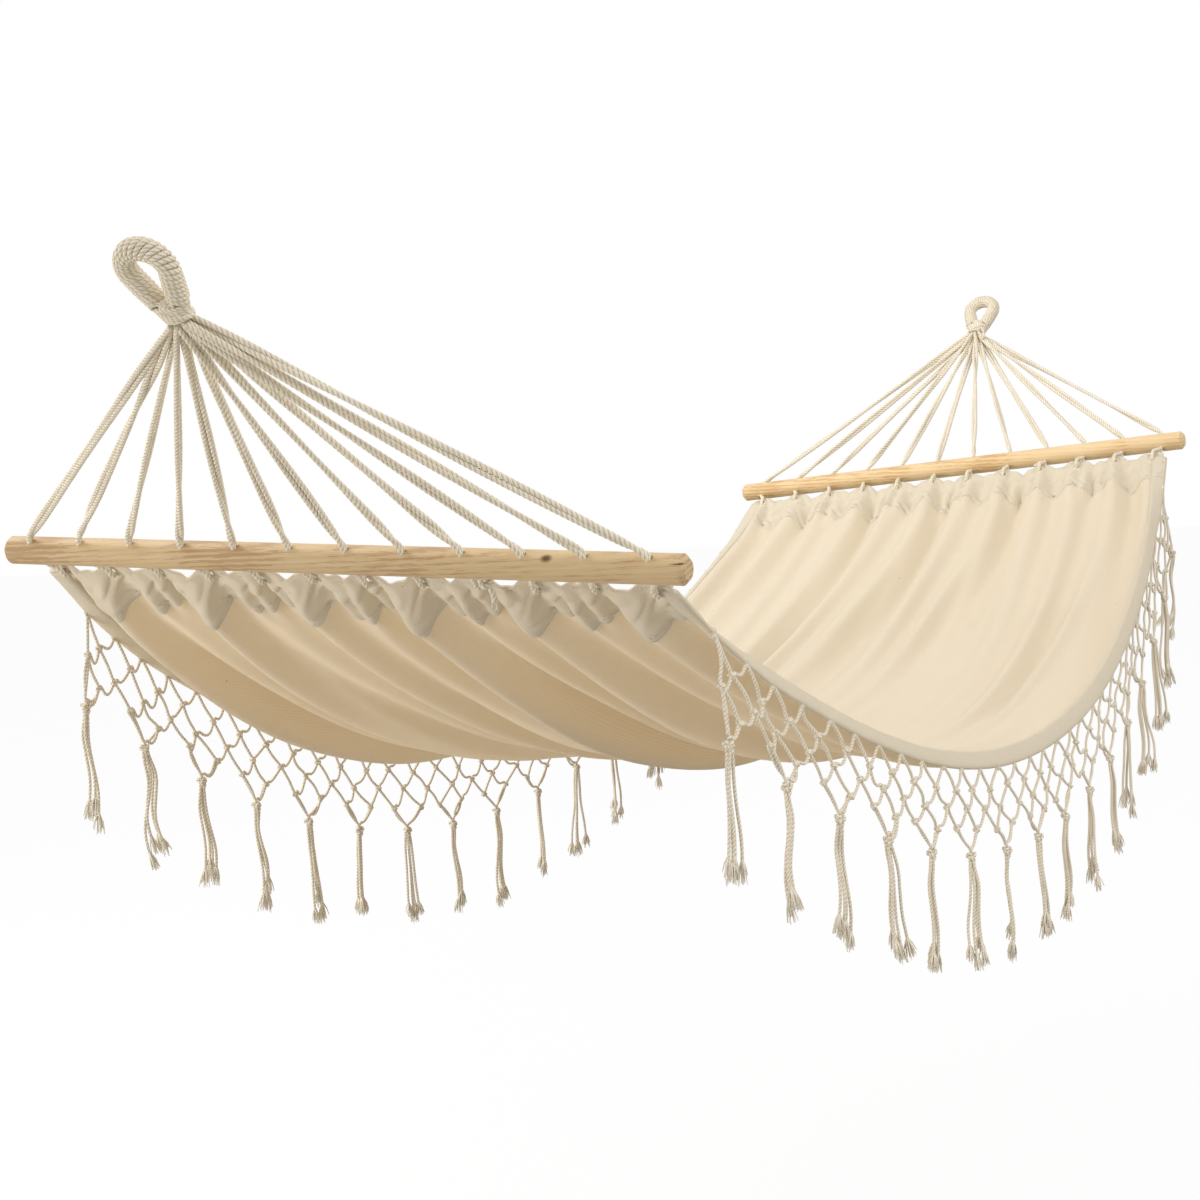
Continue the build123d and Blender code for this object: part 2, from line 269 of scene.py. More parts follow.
clewCotton = cordMaterial("twistedCottonCord", "clew", "#f5ecda", "#e9dec8", "#cdbfa4")
whippingCotton = cordMaterial("woundCottonCord", "eye", "#f5ecda", "#e8ddc6", "#cbbca0")
fringeCotton = cordMaterial("fringeCottonCord", "fringe", "#f6eede", "#eadfca", "#cfc1a6", 2)
stitchCotton = cordMaterial("sewingCotton", "stitch", "#f6ecd8", "#e9dcc2", "#d8c9ac")


# pale softwood turned and sanded by hand: long grain, a few pores, faint oil sheen
def woodMaterial(name, light, middle, dark, marks):
    material, tree, shader = newMaterial(name, {"Roughness": 0.55, "Specular IOR Level": 0.35,
                                                "Coat Weight": 0.04, "Coat Roughness": 0.4})
    place = addNode(tree, "ShaderNodeTexCoord").outputs["Object"]
    grain = addMapping(tree, place, {"Scale": (1, 0.045, 1), "Rotation": (0.02, 0.3, 0)})
    rings = addNode(tree, "ShaderNodeTexWave", {
        "bands_direction": "Z", "Scale": bandScale(5.5), "Distortion": 5.0, "Detail": 3,
        "Detail Scale": 14.0, "Detail Roughness": 0.55, "Vector": grain}).outputs[1]
    fibre = addNoise(tree, addMapping(tree, place, {"Scale": (900, 22, 900)}), 1, 4, 0.65)
    cloud = addNoise(tree, place, 9, 2)
    tone = addMath(tree, "MULTIPLY_ADD", rings, 0.32, cloud)
    streak = addMath(tree, "MULTIPLY_ADD", fibre, 0.5, tone)
    shown = addRamp(tree, streak, [(0.45, light), (0.95, middle), (1.0, dark)])
    for centre, size, colour, core in marks:  # dead knots and cracks, with a core and a soft rim
        shift = addMapping(tree, place, {"vector_type": "TEXTURE", "Location": centre, "Scale": size})
        reach = addNode(tree, "ShaderNodeVectorMath", {"operation": "LENGTH", 0: shift}).outputs["Value"]
        shown = addMix(tree, addRamp(tree, reach, [(core, white), (1.0, black)]), shown, toLinear(colour))
    tree.links.new(shown, shader.inputs["Base Color"])
    sheen = addRange(tree, fibre, {"To Min": 0.46, "To Max": 0.68})
    tree.links.new(sheen, shader.inputs["Roughness"])
    addBumps(tree, shader, [(0.3, 0.0005, streak)])
    return material


barLow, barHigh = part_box("head_spreader_bar")
barX, barZ = (barLow[0] + barHigh[0]) / 2, (barLow[2] + barHigh[2]) / 2
deadKnot = ((barX - 0.011, -0.245, barZ - 0.0085), (0.006, 0.008, 0.005), "#5d3f22", 0.45)
endCrack = ((barX - 0.012, -0.385, barZ - 0.018), (0.004, 0.018, 0.0012), "#4a3118", 0.5)
# the same pine for both bars: the head bar's darker colours are painted shade, the foot bar's paler ones
# painted light; the knot and crack are the head bar's own
headWoodShaded = woodMaterial("shadedHeadPine", "#d4b98d", "#c9ac80", "#b39166", [deadKnot, endCrack])
footWoodLit = woodMaterial("litFootPine", "#ecd2a6", "#e3c493", "#cfa874", [])
for name, wood in (("head_spreader_bar", headWoodShaded), ("foot_spreader_bar", footWoodLit)):
    nodes[name].data.materials.clear()
    nodes[name].data.materials.append(wood)
print("materials ready")


# tubes and meshes

def smoothRoute(points, step):
    curve = bpy.data.curves.new("route", "CURVE")
    curve.dimensions = "3D"
    curve.resolution_u = 6
    spline = curve.splines.new("NURBS")
    spline.points.add(len(points) - 1)
    for point, place in zip(spline.points, points):
        point.co = (*place, 1)
    spline.order_u = 3
    spline.use_endpoint_u = True
    holder = bpy.data.objects.new("route", curve)
    mesh = bpy.data.meshes.new_from_object(holder)
    line = np.array([v.co[:] for v in mesh.vertices], float)
    bpy.data.objects.remove(holder)
    bpy.data.curves.remove(curve)
    bpy.data.meshes.remove(mesh)
    return evenly(line, step)


def newBundle():
    return {"points": [], "faces": [], "uv": [], "count": 0}


def addPart(bundle, points, faces, uv):
    bundle["points"].append(points)
    bundle["faces"] += [[i + bundle["count"] for i in face] for face in faces]
    bundle["uv"] += uv
    bundle["count"] += len(points)


def addTube(bundle, path, radius, sides=8, lay=0.0, plies=3, depth=0.16, closed=False, plain=None):
    count = len(path)
    tangents = unit(np.roll(path, -1, 0) - np.roll(path, 1, 0) if closed else np.gradient(path, axis=0))
    normals = [unit(np.cross(tangents[0], (0.3, 0.9, 0.2)))]
    for tangent in tangents[1:]:
        level = normals[-1] - tangent * normals[-1].dot(tangent)
        normals.append(level / np.linalg.norm(level))
    normals = np.array(normals)
    crosses = np.cross(tangents, normals)
    along = arcLengths(path)
    around = circle(sides)
    radii = np.broadcast_to(np.asarray(radius, float), count)
    size = np.repeat(radii[:, None], sides, 1)
    if lay:
        turn = 2 * math.pi * along / lay
        size = size * (1 - depth * (0.5 - 0.5 * np.cos(plies * (around[None] - turn[:, None]))))
    ring = normals[:, None] * np.cos(around)[:, None] + crosses[:, None] * np.sin(around)[:, None]
    points = (path[:, None] + ring * size[..., None]).reshape(-1, 3)
    widest = float(radii.max())
    strip = 2 * math.pi * widest / sides
    faces, uv = [], []
    for i in range(count if closed else count - 1):
        k = (i + 1) % count
        low, high = along[i], along[k] if k else along[i] + along[1]
        for j in range(sides):
            m = (j + 1) % sides
            faces.append([i * sides + j, i * sides + m, k * sides + m, k * sides + j])
            a, b = j * strip, (j + 1) * strip
            uv += [(low, a), (low, b), (high, b), (high, a)]
    if not closed:
        points = np.concatenate([points, path[:1], path[-1:]])
        first, last = count * sides, count * sides + 1  # the middles of the two end caps
        pairs = [(j, (j + 1) % sides) for j in range(sides)]
        base = (count - 1) * sides
        faces += [[m, j, first] for j, m in pairs] + [[base + j, base + m, last] for j, m in pairs]
        uv += [(0, 0), (0, strip), (widest, 0)] * (2 * sides)
    addPart(bundle, points, faces, uv if plain is None else [plain] * len(uv))


def addStitch(bundle, start, stop):
    path = np.array([start, (start * 2 + stop) / 3, (start + stop * 2) / 3, stop])
    addTube(bundle, path, cordLay["stitchRadius"], sides=3)


fray = {"root": 0.003, "radii": (0.0009, 0.0008, 0.0005, 0.0001), "tip": 0.0005, "shade": 0.0002}


def addFray(bundle, path, count, length, spread):  # loose fibres at a cut cord end
    end = path[-1]
    direction = unit(end - path[-3])
    side = unit(np.cross(direction, (0.31, 0.83, 0.47)))
    other = np.cross(direction, side)
    for _ in range(count):
        angle, out = chance.uniform(0, 2 * math.pi), chance.uniform(0.2, 1.0)
        lean = (side * math.cos(angle) + other * math.sin(angle)) * out * spread
        root = end - direction * fray["root"] + lean * 0.12
        tip = end + direction * length * chance.uniform(0.6, 1.1) + lean
        middle = (root + tip) / 2 + lean * 0.15
        fibre = np.array([root, middle, tip, tip + direction * fray["tip"]])
        shade = (0.0, chance.uniform(-fray["shade"], fray["shade"]))
        addTube(bundle, fibre, np.array(fray["radii"]), sides=4, plain=shade)


def makePiece(bundle, name, material, body, replaced, uvName="cord"):
    mesh = bpy.data.meshes.new(name)
    mesh.from_pydata(np.concatenate(bundle["points"]).tolist(), [], bundle["faces"])
    layer = mesh.uv_layers.new(name=uvName)
    layer.data.foreach_set("uv", np.array(bundle["uv"], np.float32).ravel())
    mesh.materials.append(material)
    mesh.shade_smooth()
    piece = bpy.data.objects.new(name, mesh)
    scene.collection.objects.link(piece)
    if body:
        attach(piece, body)
    if replaced:
        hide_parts(*replaced)
    return piece


# the bed's surface, one rule for the panel and all its hems
bed = {"thickness": 0.0014, "rowsAlong": 230, "rowsAcross": 172, "underHem": 0.93, "inHem": 0.55,
       "pinch": 0.012, "pinchReach": 0.16, "pinchHalf": 0.3807, "keep": 0.18, "reach": 0.80,
       "ripple": (0.0011, 0.0008), "rippleFrom": 0.1, "bunch": 0.0046, "bunchAt": 0.045, "bunchReach": 0.035,
       "edgeBand": 0.08, "edgeKeep": 0.35, "scallop": 0.004, "scallopDraw": 0.83, "scallopDrop": 0.55,
       "endReach": 0.05, "endLift": 0.0145, "endDraw": 0.005, "rimLift": 0.006, "rimWidth": 0.035,
       "sideLift": (0.005, 0.013), "footFrom": 0.36, "footOver": 0.28}
bedEnd = clewPoint(0, -bightMiddle, 0)


def sideLines(u):  # the left and the right side hem, u from the head to the foot
    u = np.asarray(u, float)[..., None]
    sidePlace = endHalf - layout["hemWidth"] / 2
    base = bedEnd[2] - layout["fold"]
    headLeft = leanPoints([bedEnd[0], sidePlace, base])[0]
    footLeft = turnPoints(leanPoints([bedEnd[0], -sidePlace, base]))[0]
    middle = np.array([layout["span"] / 2, sidePlace + layout["spread"], base - layout["sag"]])
    bow = (middle - (headLeft + footLeft) / 2) * (4 * u * (1 - u))
    left = headLeft * (1 - u) + footLeft * u + bow
    right = turnPoints((headLeft * u + footLeft * (1 - u) + bow).reshape(-1, 3))
    return left, right.reshape(left.shape)


sample = np.linspace(0, 1, 600)
arcAt = arcLengths(sum(sideLines(sample)) / 2)
bedArc = arcAt[-1]
lobes = [(1.9, 0.5, 2.3, 0.3, 1.3, 0.9, 2.1, 0.4, 1.7, 0.6, 2.0),  # depth of each swag, eyelet to eyelet
         (1.2, 1.5, 0.4, 1.9, 0.8, 1.7, 0.5, 2.0, 0.9, 1.2, 1.6)]
folds = {"drift": (0.7, 0.8), "driftFrom": 0.05, "driftOver": 0.8, "sharp": 1.15, "outside": 0.8,
         "window": 75, "trough": 0.6, "crest": 1.15, "size": (1.55, 1.05), "swell": 0.45,
         "broadFrom": 0.06, "broadOver": 0.42, "hemKeep": 0.30, "hemReach": 0.055}
drifts = [chance.uniform(-reach, reach, layout["holes"]) for reach in folds["drift"]]
foldPlaces = np.linspace(-0.5, layout["holes"] - 0.5, 1201)  # counted in eyelets across


def foldCurves(end):  # crests at the eyelets, swags between, and the same smoothed to broad folds
    gap = np.clip(np.floor(foldPlaces).astype(int), 0, layout["holes"] - 2)
    share = foldPlaces - gap
    fall = np.clip(np.sin(math.pi * share) ** 2, 0, 1) ** folds["sharp"]
    depth = np.where((share >= 0) & (share <= 1), np.array(lobes[end])[gap], folds["outside"])
    short = 1 - fall * (1 + depth)
    half = folds["window"]  # of the smoothing window, in samples
    window = np.exp(-np.linspace(-2.2, 2.2, 2 * half + 1) ** 2)
    mirrored = np.concatenate([short[half:0:-1], short, short[-2:-half - 2:-1]])
    broad = np.convolve(mirrored, window / window.sum(), "valid")
    broad = broad - broad.mean()
    broad = np.where(broad < 0, folds["trough"], folds["crest"]) * broad
    return short, broad / broad.std() * folds["size"][end]


foldShapes = [foldCurves(0), foldCurves(1)]


def foldHeight(s, w, end):  # s along from that end, w in eyelets across
    wander = np.interp(w, range(layout["holes"]), drifts[end])
    wander = wander * np.clip((s - folds["driftFrom"]) / folds["driftOver"], 0, 1)
    short = np.interp(w, foldPlaces, foldShapes[end][0])
    swell = 1 + folds["swell"] * np.sin(0.95 * w + 3.1 * s + 2 * end)
    broad = np.interp(w + wander, foldPlaces, foldShapes[end][1]) * swell
    swap = ease((s - folds["broadFrom"]) / folds["broadOver"])
    taut = folds["hemKeep"] + (1 - folds["hemKeep"]) * ease(s / folds["hemReach"])  # the hem's edge is stiff
    fade = bed["keep"] + (1 - bed["keep"]) * np.exp(-(s / bed["reach"]) ** 2)
    return layout["fold"] * (short * (1 - swap) * taut + broad * swap) * fade


def halfWidth(u):
    left, right = sideLines(u)
    s = np.interp(u, sample, arcAt)
    toEnd = np.minimum(s, bedArc - s)
    pinch = bed["pinch"] * np.exp(-(toEnd / bed["pinchReach"]) ** 2)  # corners drawn in by their cords
    return np.linalg.norm(left - right, axis=-1) / 2 + layout["hemWidth"] / 2 - pinch


def bedPoint(u, place):  # place is metres across from the middle line
    u, place = np.broadcast_arrays(np.asarray(u, float), np.asarray(place, float))
    left, right = sideLines(u)
    across = unit(left - right)
    up = np.cross(np.array([1.0, 0, 0]), across)
    half = halfWidth(u)
    v = place / half
    s = np.interp(u, sample, arcAt)
    toEnd = np.minimum(s, bedArc - s)
    w = midHole - v * endHalf / layout["holePitch"]
    foot = ease((u - bed["footFrom"]) / bed["footOver"])  # the head's folds give way to the foot's
    height = foldHeight(s, w, 0) * (1 - foot) + foldHeight(bedArc - s, w, 1) * foot
    gathered = np.exp(-((toEnd - bed["bunchAt"]) / bed["bunchReach"]) ** 2)
    bunch = bed["bunch"] * np.sin(13.2 * w + 2.1 * np.sin(3.3 * w)) * gathered
    ripple = bed["ripple"][0] * np.sin(31 * v + 4.1 * np.sin(2.6 * s + 1))
    ripple = ripple + bed["ripple"][1] * np.sin(57 * v - 7 * s + 2 * np.sin(3 * s))
    ripple = ripple * np.clip(toEnd / bed["rippleFrom"], 0, 1)
    edge = np.clip((1 - np.abs(v)) / bed["edgeBand"], 0, 1)
    stiff = bed["edgeKeep"] + (1 - bed["edgeKeep"]) * edge
    belly = 4 * u * (1 - u)
    sag = layout["crossSag"] * belly * (1 - v ** 2)
    rise = (height + bunch) * stiff + ripple * edge - sag
    shape = (left + right) / 2 + across * place[..., None] + up * rise[..., None]
    scallop = bed["scallop"] * np.sin(math.pi * np.clip(np.abs(w - np.round(w)), 0, 0.5)) ** 2
    near = np.exp(-s / bed["endReach"]) - np.exp(-(bedArc - s) / bed["endReach"])
    rim = np.clip(1 - (half - np.abs(place)) / bed["rimWidth"], 0, 1) ** 2
    share = (v + 1) / 2
    shape[..., 0] += (scallop * bed["scallopDraw"] + bed["endDraw"]) * near  # drawn up behind the bar
    close = np.abs(near)
    shape[..., 2] += (bed["endLift"] - scallop * bed["scallopDrop"]) * close
    shape[..., 2] += bed["rimLift"] * rim * (1 - close)
    leftLift, rightLift = bed["sideLift"]  # the sides bow less evenly
    shape[..., 2] += belly * (leftLift * share + rightLift * (1.35 - 0.7 * u) * (1 - share))
    return shape


def addSheet(bundle, grid, uvGrid, thickness, holes=None):  # a closed sheet: two skins and a rim
    rows, columns = grid.shape[:2]
    normal = unit(np.cross(np.gradient(grid, axis=0), np.gradient(grid, axis=1)))
    flip = normal[rows // 2, columns // 2, 2] < 0
    offset = (-normal if flip else normal) * thickness / 2
    points = np.concatenate([(grid + offset).reshape(-1, 3), (grid - offset).reshape(-1, 3)])
    under = rows * columns
    keep = np.ones((rows - 1, columns - 1), bool) if holes is None else ~holes
    faces, uv, rim = [], [], {}
    flat = [tuple(place) for place in uvGrid.reshape(-1, 2)]
    for i, j in np.argwhere(keep):
        a, d = i * columns + j, (i + 1) * columns + j
        loop = [a, a + 1, d + 1, d] if flip else [a, d, d + 1, a + 1]
        back = loop[::-1]
        faces += [loop, [k + under for k in back]]
        uv += [flat[k] for k in loop + back]
        for p, q in zip(loop, [*loop[1:], loop[0]]):
            if rim.pop((q, p), None) is None:
                rim[(p, q)] = True
    for p, q in rim:
        faces.append([q, p, p + under, q + under])
        uv += [flat[k] for k in (q, p, p, q)]
    used = np.unique(np.concatenate([np.array(f) for f in faces]))
    remap = -np.ones(len(points), int)
    remap[used] = np.arange(len(used))
    addPart(bundle, points[used], [[int(remap[k]) for k in f] for f in faces], uv)


hemU = float(np.interp(layout["endHem"], arcAt, sample))
panelU = np.linspace(hemU * bed["underHem"], 1 - hemU * bed["underHem"], bed["rowsAlong"])
gridU, gridV = np.meshgrid(panelU, np.linspace(-1, 1, bed["rowsAcross"]), indexing="ij")
gridPlace = gridV * (halfWidth(gridU) - layout["hemWidth"] * bed["inHem"])
panelUv = np.stack([gridPlace, np.interp(gridU, sample, arcAt)], -1)
bundle = newBundle()
addSheet(bundle, bedPoint(gridU, gridPlace), panelUv, bed["thickness"])
bedPanel = makePiece(bundle, "bedPanel", canvasCloth, "hammock", ["bed_panel"], "cloth")
print("bed panel:", len(bedPanel.data.polygons), "faces, arc", round(bedArc, 3))

# doubled end hems with worked eyelets
endHem = {"thickness": 0.0034, "overlap": 0.004, "rows": (44, 500), "wrinkle": 0.0019,
          "eyeletLong": 0.0062, "eyeletWide": 0.0046, "inset": 0.0117, "rimCord": 0.0024, "rimSize": 1.08,
          "stitch": 0.0046, "stitchHalf": 0.0015, "stitchRows": (0.0565, 0.0040), "stitchEdge": 0.006}
eyeletPlaces = [y * (1 - bed["pinch"] / bed["pinchHalf"]) for y in holePlaces]


def hemPoint(end, s, place):  # s along from that end
    u = np.interp(s, arcAt, sample)
    return bedPoint(1 - u if end else u, place)


def makeEndHem(end, name, node):
    long, wide, inset = endHem["eyeletLong"], endHem["eyeletWide"], endHem["inset"]
    rows, columns = endHem["rows"]
    s = np.linspace(0, layout["endHem"] + endHem["overlap"], rows)
    gridS, gridV = np.meshgrid(s, np.linspace(-1, 1, columns), indexing="ij")
    gridPlace = gridV * halfWidth(np.interp(gridS, arcAt, sample))
    inside = np.zeros(gridS.shape, bool)
    for place in eyeletPlaces:
        along, across = (gridS - inset) / long, (gridPlace - place) / wide
        reach = np.hypot(along, across)
        hit = reach < 1
        inside |= hit
        push = np.where(hit, 1 / np.maximum(reach, 0.05), 1)
        gridS = np.where(hit, inset + along * long * push, gridS)
        gridPlace = np.where(hit, place + across * wide * push, gridPlace)
    holes = inside[:-1, :-1] & inside[1:, :-1] & inside[:-1, 1:] & inside[1:, 1:]
    grid = hemPoint(end, gridS, gridPlace)
    crossing = np.sin(gridS * 80 + 1 + 2 * np.sin(gridPlace * 47))
    grid[..., 2] += endHem["wrinkle"] * np.sin(gridPlace * 260 + 3 * np.sin(gridS * 120)) * crossing
    bundle = newBundle()
    addSheet(bundle, grid, np.stack([gridPlace, gridS], -1), endHem["thickness"], holes)
    hem = makePiece(bundle, name, canvasDoubledShaded, "hammock", [node], "cloth")
    threads = newBundle()
    angle = circle(26)
    for place in eyeletPlaces:
        ring = hemPoint(end, inset + long * endHem["rimSize"] * np.cos(angle),
                        place + wide * endHem["rimSize"] * np.sin(angle))
        addTube(threads, ring, endHem["rimCord"], sides=7, closed=True)
    half = halfWidth(np.array(hemU))
    across = np.linspace(-1, 1, int(2 * half / endHem["stitch"])) * (half - endHem["stitchEdge"])
    lift = np.array([0, 0, endHem["thickness"] / 2 + 0.0003])
    for row in endHem["stitchRows"]:  # two rows of machine stitches
        starts = hemPoint(end, row, across - endHem["stitchHalf"])
        stops = hemPoint(end, row, across + endHem["stitchHalf"])
        for start, stop in zip(starts, stops):
            addStitch(threads, start + lift, stop + lift)
            addStitch(threads, start - lift, stop - lift)
    sewing = makePiece(threads, name + "Stitches", stitchCotton, "hammock", [])
    return [hem, sewing]


hemPieces = makeEndHem(0, "headEndHem", "head_end_hem") + makeEndHem(1, "footEndHem", "foot_end_hem")
print("end hems ready")

# rolled side hems, a little down-turned where the fringe pulls on them
sideHem = {"width": 0.025, "depth": 0.0085, "stations": 330, "around": 20, "turn": (26, 62), "start": 0.12,
           "inset": 0.012, "middle": 0.0065, "cloth": 0.0035, "seam": 0.33, "seamRise": 0.40,
           "stitch": 0.0034, "fringeInset": 0.002, "turnReach": 0.09, "turnLeast": 0.15}


def makeSideHem(side, name, node):
    u = np.linspace(hemU * sideHem["start"], 1 - hemU * sideHem["start"], sideHem["stations"])
    half = halfWidth(u)
    edge = bedPoint(u, side * half)
    inner = bedPoint(u, side * (half - sideHem["inset"]))
    down = np.array([0, 0, -1.0])
    angle = math.radians(sideHem["turn"][0 if side > 0 else 1])
    turn = angle * np.clip(np.minimum(u, 1 - u) / sideHem["turnReach"], sideHem["turnLeast"], 1)[:, None]
    flat = unit(unit(edge - inner) * np.cos(turn) + down * np.sin(turn))
    run = unit(np.gradient(edge, axis=0))
    thick = np.cross(run, flat)
    centre = inner + flat * sideHem["middle"]
    s = np.interp(u, sample, arcAt)
    around = circle(sideHem["around"])
    lump = 1 + 0.08 * np.sin(s * 75 + side) + 0.06 * np.sin(s * 141 + 2)
    across = np.sign(np.cos(around)) * np.abs(np.cos(around)) ** 0.7 * sideHem["width"] / 2
    rise = np.sign(np.sin(around)) * np.abs(np.sin(around)) ** 0.8 * sideHem["depth"] / 2
    bulge = thick[:, None] * (rise[None, :] * lump[:, None])[..., None]
    points = centre[:, None] + flat[:, None] * across[None, :, None] + bulge
    count, sides = points.shape[:2]
    faces, uv = [], []
    for i in range(count - 1):
        for j in range(sides):
            m = (j + 1) % sides
            faces.append([i * sides + j, i * sides + m, (i + 1) * sides + m, (i + 1) * sides + j])
            a, b = j * sideHem["cloth"], (j + 1) * sideHem["cloth"]
            uv += [(a, s[i]), (b, s[i]), (b, s[i + 1]), (a, s[i + 1])]
    faces += [list(range(sides))[::-1], [(count - 1) * sides + j for j in range(sides)]]
    uv += [(0, 0)] * (2 * sides)
    bundle = newBundle()
    addPart(bundle, points.reshape(-1, 3), faces, uv)
    hem = makePiece(bundle, name, canvasDoubledShaded, "hammock", [node], "cloth")
    bpy.context.view_layer.objects.active = hem
    bpy.ops.object.mode_set(mode="EDIT")
    bpy.ops.mesh.select_all(action="SELECT")
    bpy.ops.mesh.normals_make_consistent(inside=False)
    bpy.ops.object.mode_set(mode="OBJECT")
    threads = newBundle()
    seam = centre - flat * sideHem["width"] * sideHem["seam"]
    lift = thick * (sideHem["depth"] * sideHem["seamRise"] * lump)[:, None]
    stitch = run * sideHem["stitch"]
    for k in range(count - 1):  # one row of stitches near the inner edge, on both faces
        for start in (seam[k] + lift[k], seam[k] - lift[k]):
            addStitch(threads, start, start + stitch[k])
    sewing = makePiece(threads, name + "Stitches", stitchCotton, "hammock", [])
    return [hem, sewing], centre + flat * (sideHem["width"] / 2 - sideHem["fringeInset"])


leftHem, leftHemEdge = makeSideHem(1, "leftSideHem", "left_side_hem")
rightHem, rightHemEdge = makeSideHem(-1, "rightSideHem", "right_side_hem")
print("side hems ready")

# clew cords: one doubled cord for each hole, its bight through the eyelet
clewCord = {"apart": 0.0025, "step": 0.0013, "sides": 11, "depth": 0.16, "bend": (0.012, -0.014),
            "top": 0.010, "packWide": 0.0085, "packDeep": 0.0048, "aboveBar": 0.004, "belowBar": 0.001,
            "inHole": 0.0021, "bightRise": (0.0062, 0.0072, 0.0048), "bightRun": (0.002, 0.0035)}


def eyeletFrame(k):
    line = hemPoint(0, endHem["inset"] * np.arange(3), eyeletPlaces[k])
    along = unit(line[2] - line[0])
    normal = unit(np.cross(along, sideways))
    return line[0], line[1], along, normal if normal[2] > 0 else -normal


def clewRoute(k, seed):
    dice = np.random.default_rng(seed)
    y = holePlaces[k]
    packY, packN = (midHole - k) / midHole * clewCord["packWide"], (k % 3 - 1) * clewCord["packDeep"]
    top, corner = clewCord["top"], layout["barRadius"] + clewCord["aboveBar"] - layout["clewLength"]
    turns, start = dice.choice([-1, 1]) * dice.uniform(0.5, 2.0), dice.uniform(0, math.pi)
    flat = np.cross(clewNormal, unit(clewPoint(y, corner, 0) - clewPoint(packY, top, packN)))
    down, back = [], []
    for share in np.linspace(0, 1, 20):
        s = top + (corner - top) * share
        centre = clewPoint(packY + (y - packY) * share, s, packN * (1 - share) ** 1.5)
        angle = start * (1 - share) + math.pi / 2 + 2 * math.pi * turns * share * (1 - share) ** 0.5
        loose = 1 + 0.25 * math.sin(9 * share + start) * (share < 0.9)
        wide = clewCord["apart"] * (1 - 0.15 * share) * loose
        offset = (flat * math.cos(angle) + clewNormal * math.sin(angle)) * wide
        down.append(centre + offset)
        back.append(centre - offset)
    below = layout["clewLength"] + layout["barRadius"] + clewCord["belowBar"]
    for s in (-layout["clewLength"], -below):
        down.append(clewPoint(y, s, clewCord["inHole"]))
        back.append(clewPoint(y, s, -clewCord["inHole"]))
    edge, eyelet, along, normal = eyeletFrame(k)
    atEdge, atHole, atTip = clewCord["bightRise"]
    short, long = clewCord["bightRun"]
    over, under = [[edge + out * atEdge, eyelet + out * atHole - along * short,
                    eyelet + out * atTip + along * long] for out in (normal, -normal)]
    return np.concatenate([leanPoints(down), over, under[::-1], leanPoints(back)[::-1]])


def makeClew(end, name, replaced):
    bundle = newBundle()
    for k in range(layout["holes"]):
        path = smoothRoute(atEnd(clewRoute(k, 100 * end + k), end), clewCord["step"])
        addTube(bundle, path, cordLay["clewRadius"], clewCord["sides"], cordLay["clewLay"],
                depth=clewCord["depth"])
    piece = makePiece(bundle, name, clewCotton, None, replaced)
    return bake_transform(piece)


headClew = makeClew(0, "headClewCords", ["head_clew_cords", "head_cord_bundle"])
makeClew(1, "footClewCords", ["foot_clew_cords", "foot_cord_bundle"])
print("clew cords:", len(headClew.data.polygons), "faces each end")


def overhand(size, count):  # a tied knot's path about the origin
    t = circle(count)
    x, y = np.sin(t) + 2 * np.sin(2 * t), np.cos(t) - 2 * np.cos(2 * t)
    return size * np.stack([x, y, -1.4 * np.sin(3 * t)], -1) / 3


def turned(points, axis, angle):
    return points @ np.array(Matrix.Rotation(angle, 3, axis)).T


# the knot under each bar, where the two ends of one clew cord meet
endKnot = {"size": 0.0085, "turn": 0.9, "step": 0.0016, "tailStep": 0.002, "fray": (12, 0.009, 0.0045),
           "tail": ((0, 0, 0), (0.002, -0.005, -0.009), (0.006, -0.007, -0.016), (0.008, -0.006, -0.024))}


def makeEndKnot(name, node):
    low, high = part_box(node)
    middle = np.array((low + high) / 2)
    bundle = newBundle()
    knot = overhand(endKnot["size"], 48)
    loop = evenly(np.concatenate([knot, knot[:1]]), endKnot["step"])[:-1]
    addTube(bundle, turned(loop, "X", endKnot["turn"]) + middle, cordLay["clewRadius"], closed=True)
    tail = smoothRoute([middle + move for move in endKnot["tail"]], endKnot["tailStep"])
    addTube(bundle, tail, cordLay["clewRadius"])
    addFray(bundle, tail, *endKnot["fray"])
    makePiece(bundle, name, clewCotton, "hammock", [node])


makeEndKnot("headEndKnot", "head_end_knot")
makeEndKnot("footEndKnot", "foot_end_knot")

# hanging eyes: a gathered core wound from end to end, closed by a binding at the throat
eye = {"pitch": 0.0050, "starts": 4, "step": 0.0018, "coreRadius": 0.0072, "coreLay": 0.05,
       "footGap": 0.0003, "footRise": 0.0015, "perTurn": 22, "uneven": 0.0003, "bindTurns": 5,
       "bindPerTurn": 26, "bindCord": 0.0024, "bindWide": 0.0128, "bindDeep": 0.0098, "bindFlare": 0.0065,
       "bindEnds": (0.002, 0.001), "slant": (0.0150, 0.0116, 0.010, 0.0075), "filler": (0.0098, 0.0125),
       "fillerEnds": (0.001, 0.006), "fillerRings": 12, "fillerLay": 0.04,
       "tailCord": 0.00216, "tailStep": 0.0015, "fray": (16, 0.011, 0.006),
       "tail": ((0.008, 0.008, 0.009), (0.013, 0.003, 0.013),
                (0.018, -0.005, 0.014), (0.019, -0.012, 0.013))}


def eyeLine():  # from one foot round the crown to the other, in the fan's plane
    centre = np.array([0, eyeSeat + layout["eyeHeight"]])
    foot = np.array([-layout["eyeRope"] / 2 - eye["footGap"], eyeSeat + eye["footRise"]])
    away = foot - centre
    angle = math.atan2(away[1], away[0]) - math.acos(layout["eyeBend"] / np.linalg.norm(away))
    sweep = np.linspace(angle + 2 * math.pi, -math.pi - angle, 40)
    crown = centre + layout["eyeBend"] * np.stack([np.cos(sweep), np.sin(sweep)], -1)
    line = np.concatenate([[foot], crown, [[-foot[0], foot[1]]]])
    return evenly(np.stack([line[:, 0], line[:, 1], np.zeros(len(line))], -1), 0.001)


